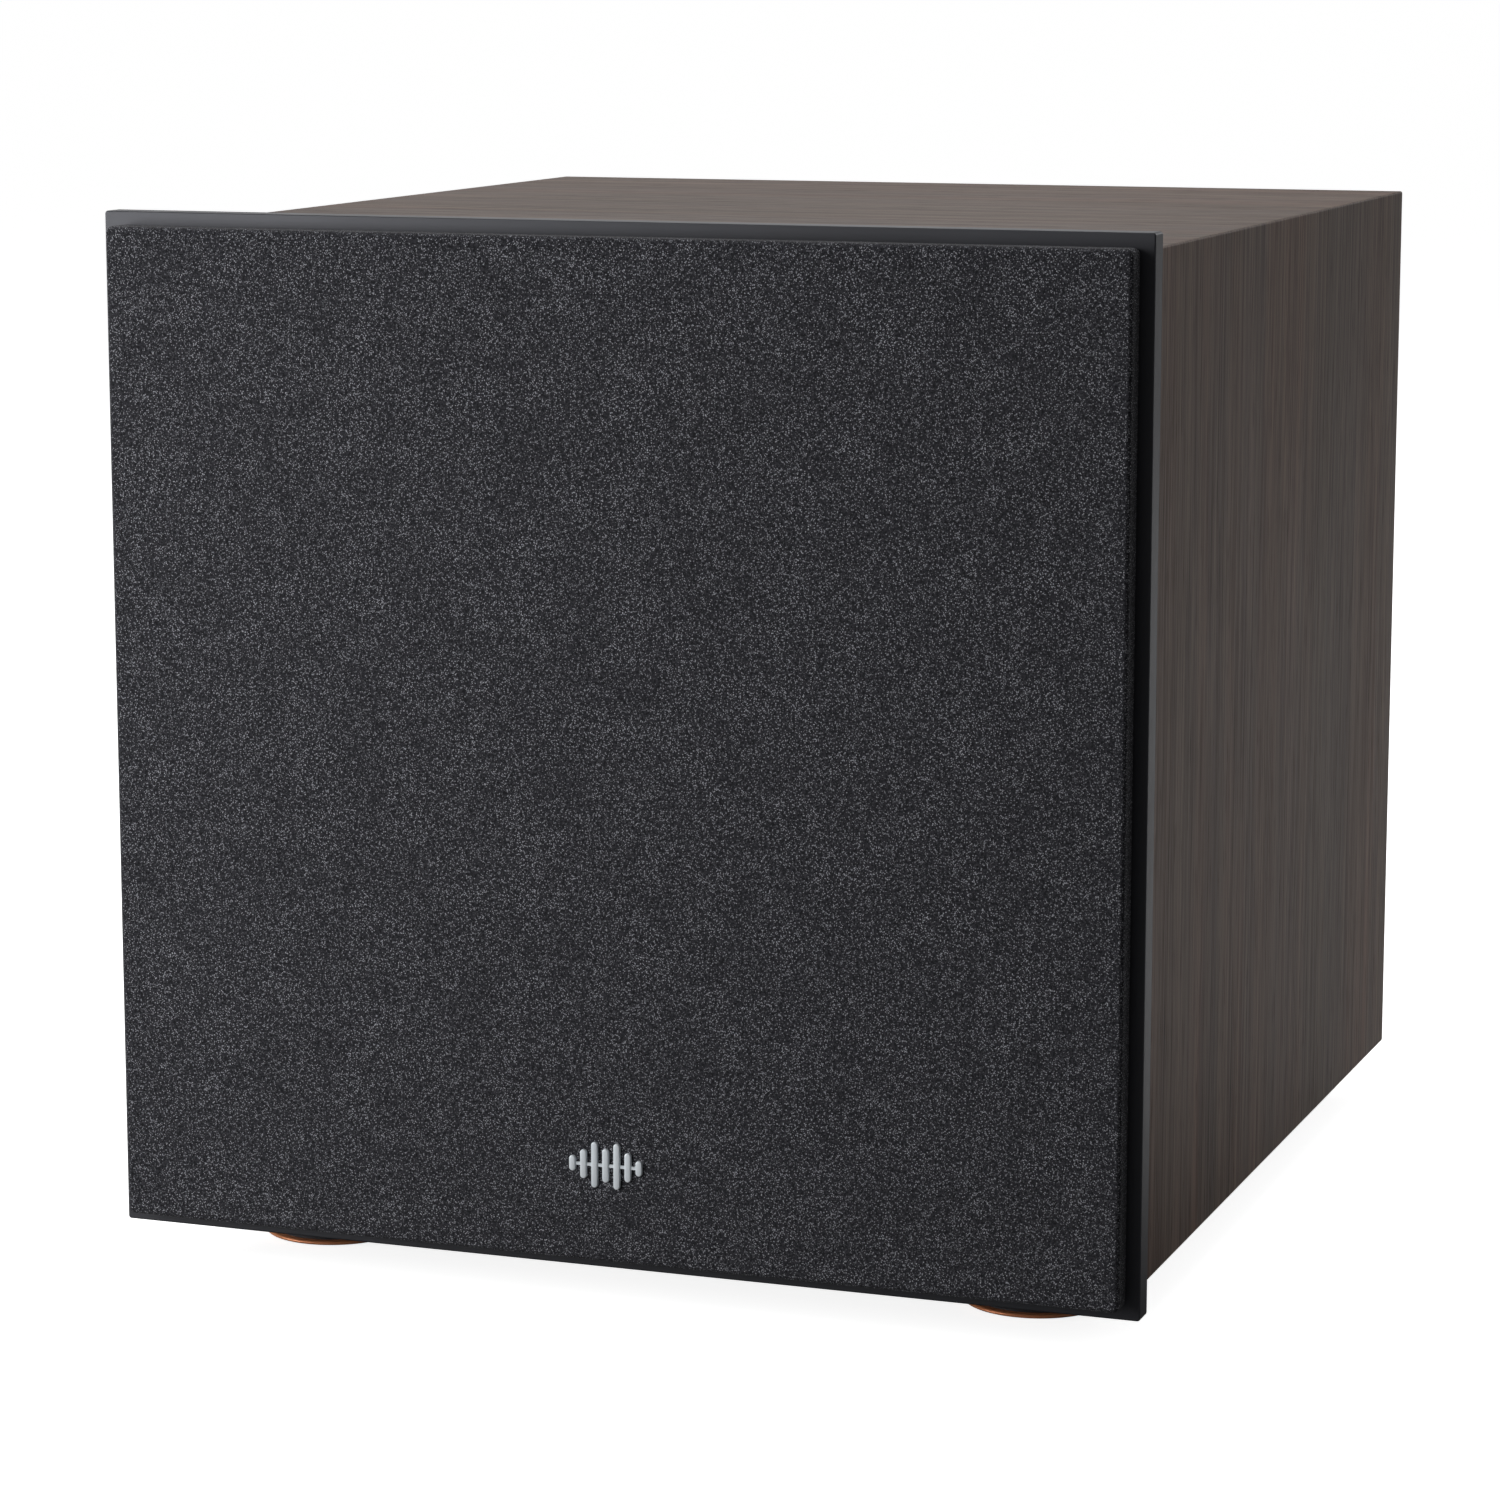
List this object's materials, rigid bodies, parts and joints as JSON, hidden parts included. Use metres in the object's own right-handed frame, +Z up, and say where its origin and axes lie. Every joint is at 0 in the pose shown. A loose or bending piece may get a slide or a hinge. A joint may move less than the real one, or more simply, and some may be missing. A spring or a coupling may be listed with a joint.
{
  "type": "subwoofer",
  "caption": "Free-standing powered subwoofer: wood-grain box with a pull-off cloth grille, front-firing driver, down-firing port, rear amplifier panel and ringed feet.",
  "frame": {"origin": "on the floor under the middle of the whole object, with the grille on and the rear knobs counted", "axes": "+Z up, -Y the way the grille faces, +X to the right seen from the front"},
  "size_m": [0.35, 0.402, 0.35],
  "materials": {
    "veneer": "espresso wood-grain vinyl, fine grain, low sheen",
    "fibreboard": "raw medium-density fibreboard",
    "satin_black": "satin black, soft highlights",
    "moulded_black": "fine-textured black moulding",
    "grille_fabric": "charcoal knitted cloth with pale flecks",
    "badge_metal": "satin silver",
    "rubber": "matte black",
    "foam": "closed-cell foam",
    "paper_cone": "pressed fibre, black, faint fibres",
    "black_steel": "black powder coat",
    "zinc_steel": "zinc plated",
    "ferrite": "dull ground ferrite",
    "coil_winding": "enamelled copper wire on an aluminium former",
    "spider_cloth": "resin-dipped woven cloth",
    "circuit_board": "green solder mask",
    "aluminium": "extruded, natural",
    "core_steel": "laminated steel with a taped winding",
    "panel_paint": "fine-textured black paint, white printing",
    "jack_white": "white insulator, nickel shell",
    "jack_red": "red insulator, nickel shell",
    "light_pipe": "clear tinted light pipe",
    "copper": "satin copper",
    "fibre_wadding": "white polyester fibre",
    "lead_sheath": "two-core lead, one core striped"
  },
  "bodies": {
    "cabinet": {"top_panel": "veneer", "bottom_panel": "veneer", "left_panel": "veneer", "right_panel": "veneer", "rear_panel": "veneer", "baffle_board": "fibreboard", "window_brace": "fibreboard", "front_fascia": "satin_black", "grille_grommet_1": "rubber", "grille_grommet_2": "rubber", "grille_grommet_3": "rubber", "grille_grommet_4": "rubber", "woofer_basket": "black_steel", "woofer_trim_ring": "rubber", "woofer_surround": "rubber", "woofer_spider": "spider_cloth", "motor_front_plate": "zinc_steel", "motor_magnet": "ferrite", "motor_back_plate": "zinc_steel", "woofer_terminal": "moulded_black", "port_tube": "moulded_black", "port_flange": "moulded_black", "amp_plate": "panel_paint", "amp_gasket": "foam", "amp_board": "circuit_board", "heat_sink": "aluminium", "transformer": "core_steel", "level_pot": "zinc_steel", "crossover_pot": "zinc_steel", "slide_switch_block": "moulded_black", "rca_left": "jack_white", "rca_right": "jack_red", "status_light": "light_pipe", "mains_inlet": "moulded_black", "rocker_housing": "moulded_black", "foot_front_left": "moulded_black", "foot_front_right": "moulded_black", "foot_rear_left": "moulded_black", "foot_rear_right": "moulded_black", "foot_ring_front_left": "copper", "foot_ring_front_right": "copper", "foot_ring_rear_left": "copper", "foot_ring_rear_right": "copper", "foot_pad_front_left": "rubber", "foot_pad_front_right": "rubber", "foot_pad_rear_left": "rubber", "foot_pad_rear_right": "rubber", "damping_wadding": "fibre_wadding", "speaker_lead": "lead_sheath"},
    "grille": {"grille_frame": "moulded_black", "grille_cloth": "grille_fabric", "grille_badge": "badge_metal"},
    "cone": {"woofer_cone": "paper_cone", "woofer_dust_cap": "paper_cone", "voice_coil": "coil_winding"},
    "level_control": {"level_knob": "moulded_black"},
    "crossover_control": {"crossover_knob": "moulded_black"},
    "phase_control": {"phase_slider": "moulded_black"},
    "mode_control": {"mode_slider": "moulded_black"},
    "power_control": {"power_rocker": "moulded_black"}
  },
  "joints": [
    {"name": "grille_pull", "type": "slide", "parent": "cabinet", "child": "grille", "axis": [0, -1, 0], "range_m": [0, 0.06]},
    {"name": "cone_travel", "type": "slide", "parent": "cabinet", "child": "cone", "axis": [0, -1, 0], "range_m": [-0.008, 0.008], "stiffness_N_per_m": 2500, "deforming": ["woofer_surround", "woofer_spider"]},
    {"name": "level_turn", "type": "hinge", "parent": "cabinet", "child": "level_control", "pos_m": [0.048, 0.1945, 0.255], "axis": [0, 1, 0], "range_deg": [-150, 150]},
    {"name": "crossover_turn", "type": "hinge", "parent": "cabinet", "child": "crossover_control", "pos_m": [-0.048, 0.1945, 0.255], "axis": [0, 1, 0], "range_deg": [-150, 150]},
    {"name": "phase_slide", "type": "slide", "parent": "cabinet", "child": "phase_control", "axis": [-1, 0, 0], "range_m": [0, 0.004]},
    {"name": "mode_slide", "type": "slide", "parent": "cabinet", "child": "mode_control", "axis": [-1, 0, 0], "range_m": [0, 0.004]},
    {"name": "rocker_tip", "type": "hinge", "parent": "cabinet", "child": "power_control", "pos_m": [-0.048, 0.184, 0.088], "axis": [-1, 0, 0], "range_deg": [0, 20]}
  ]
}
